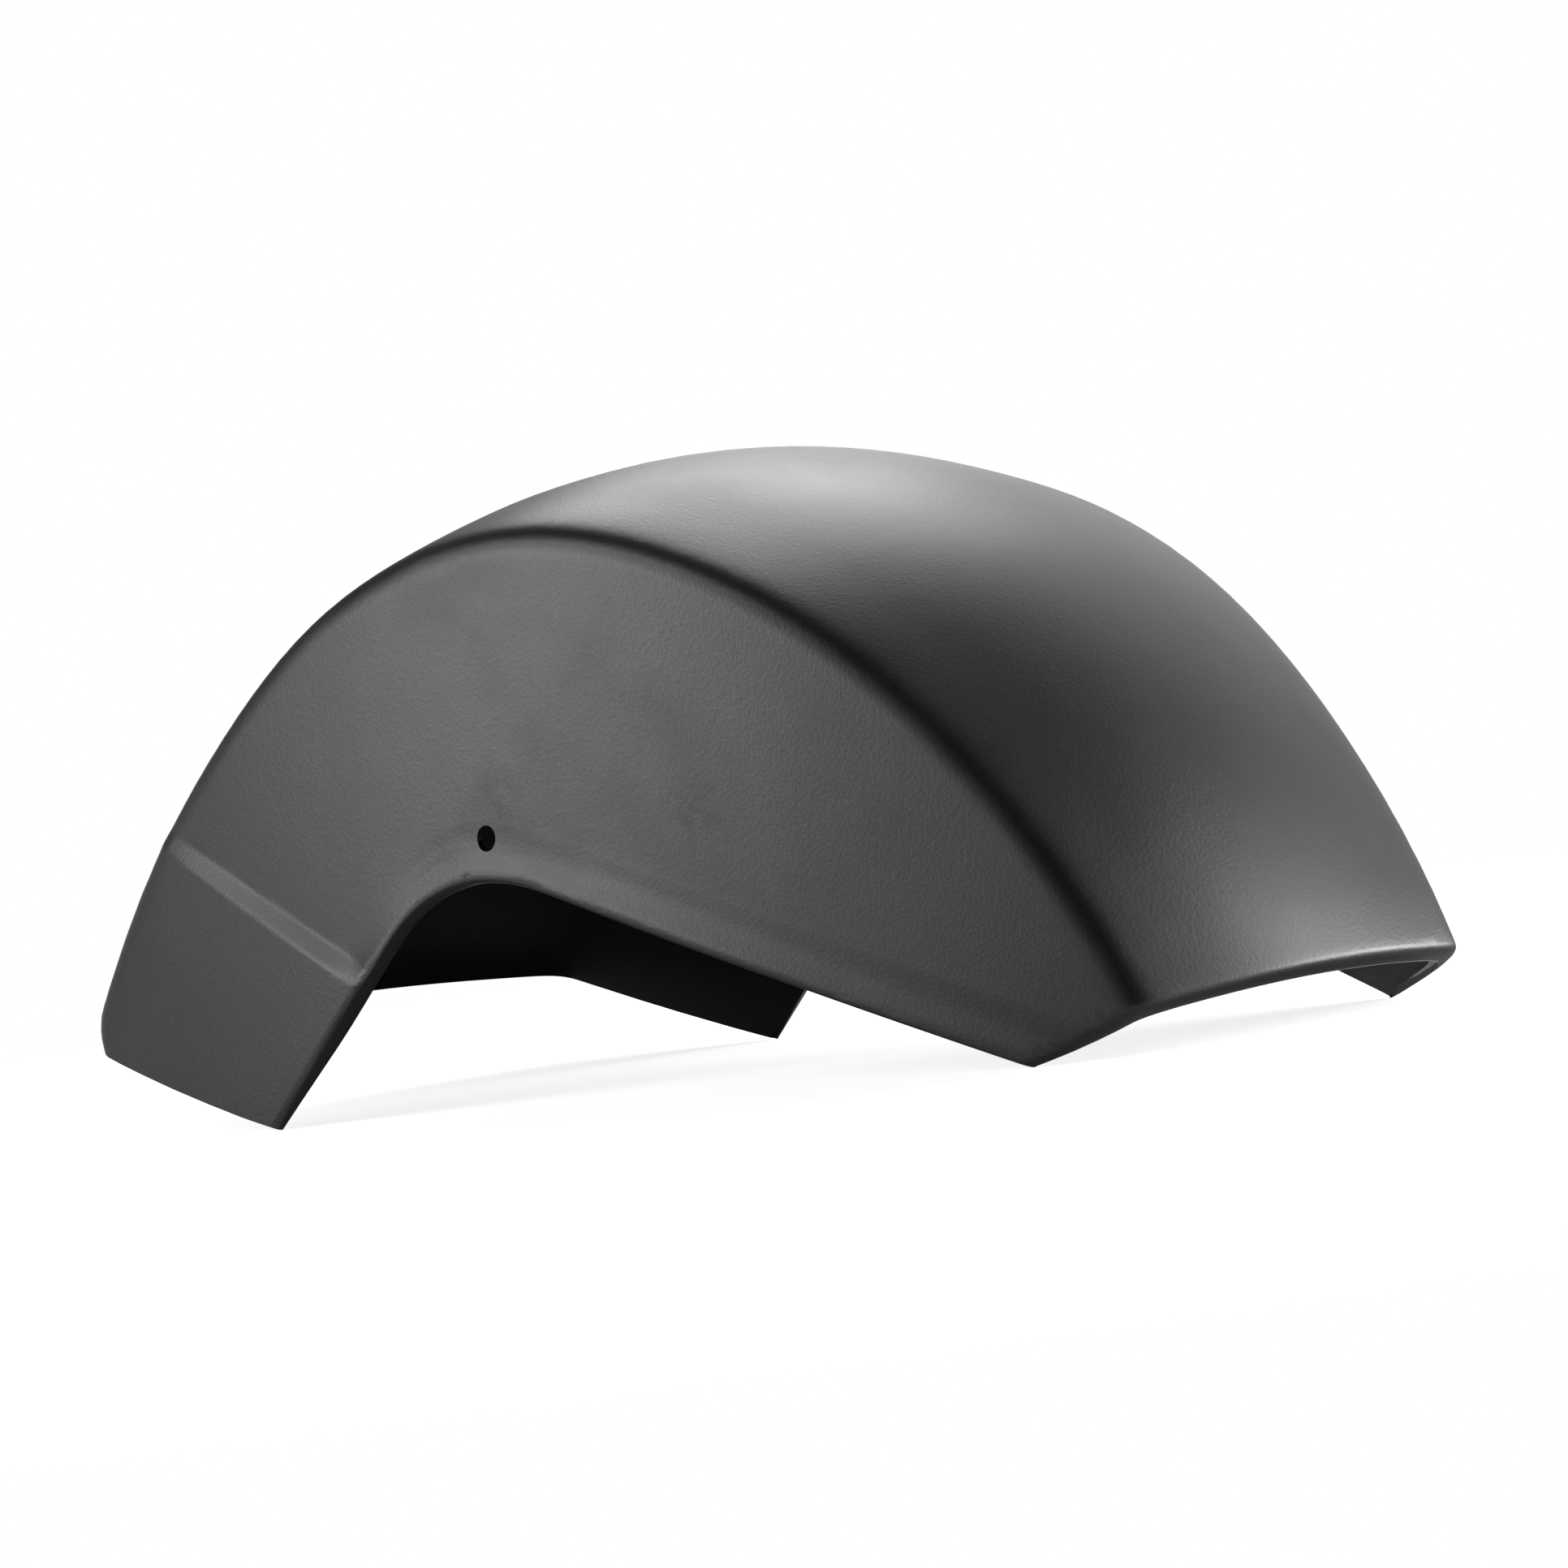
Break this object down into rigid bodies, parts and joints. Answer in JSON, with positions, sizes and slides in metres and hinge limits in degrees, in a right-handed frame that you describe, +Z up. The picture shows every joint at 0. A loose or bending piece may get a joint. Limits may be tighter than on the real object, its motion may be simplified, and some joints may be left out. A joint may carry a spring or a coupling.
{
  "type": "scooter mudguard",
  "caption": "Arched plastic mudguard shell for a scooter wheel, with a curved crown, bowed side panels, flared lower edges, a folded front lip and bolt holes for the fork.",
  "frame": {"origin": "on the plane of the tips the mudguard stands on, below the middle of its length and width", "axes": "+X forward towards the nose, +Y to the left, +Z up through the crown"},
  "size_m": [0.5286, 0.244, 0.2172],
  "materials": {
    "shell": "matt black with a fine moulded grain"
  },
  "bodies": {
    "root": {"mudguard_shell": "shell"}
  },
  "joints": []
}
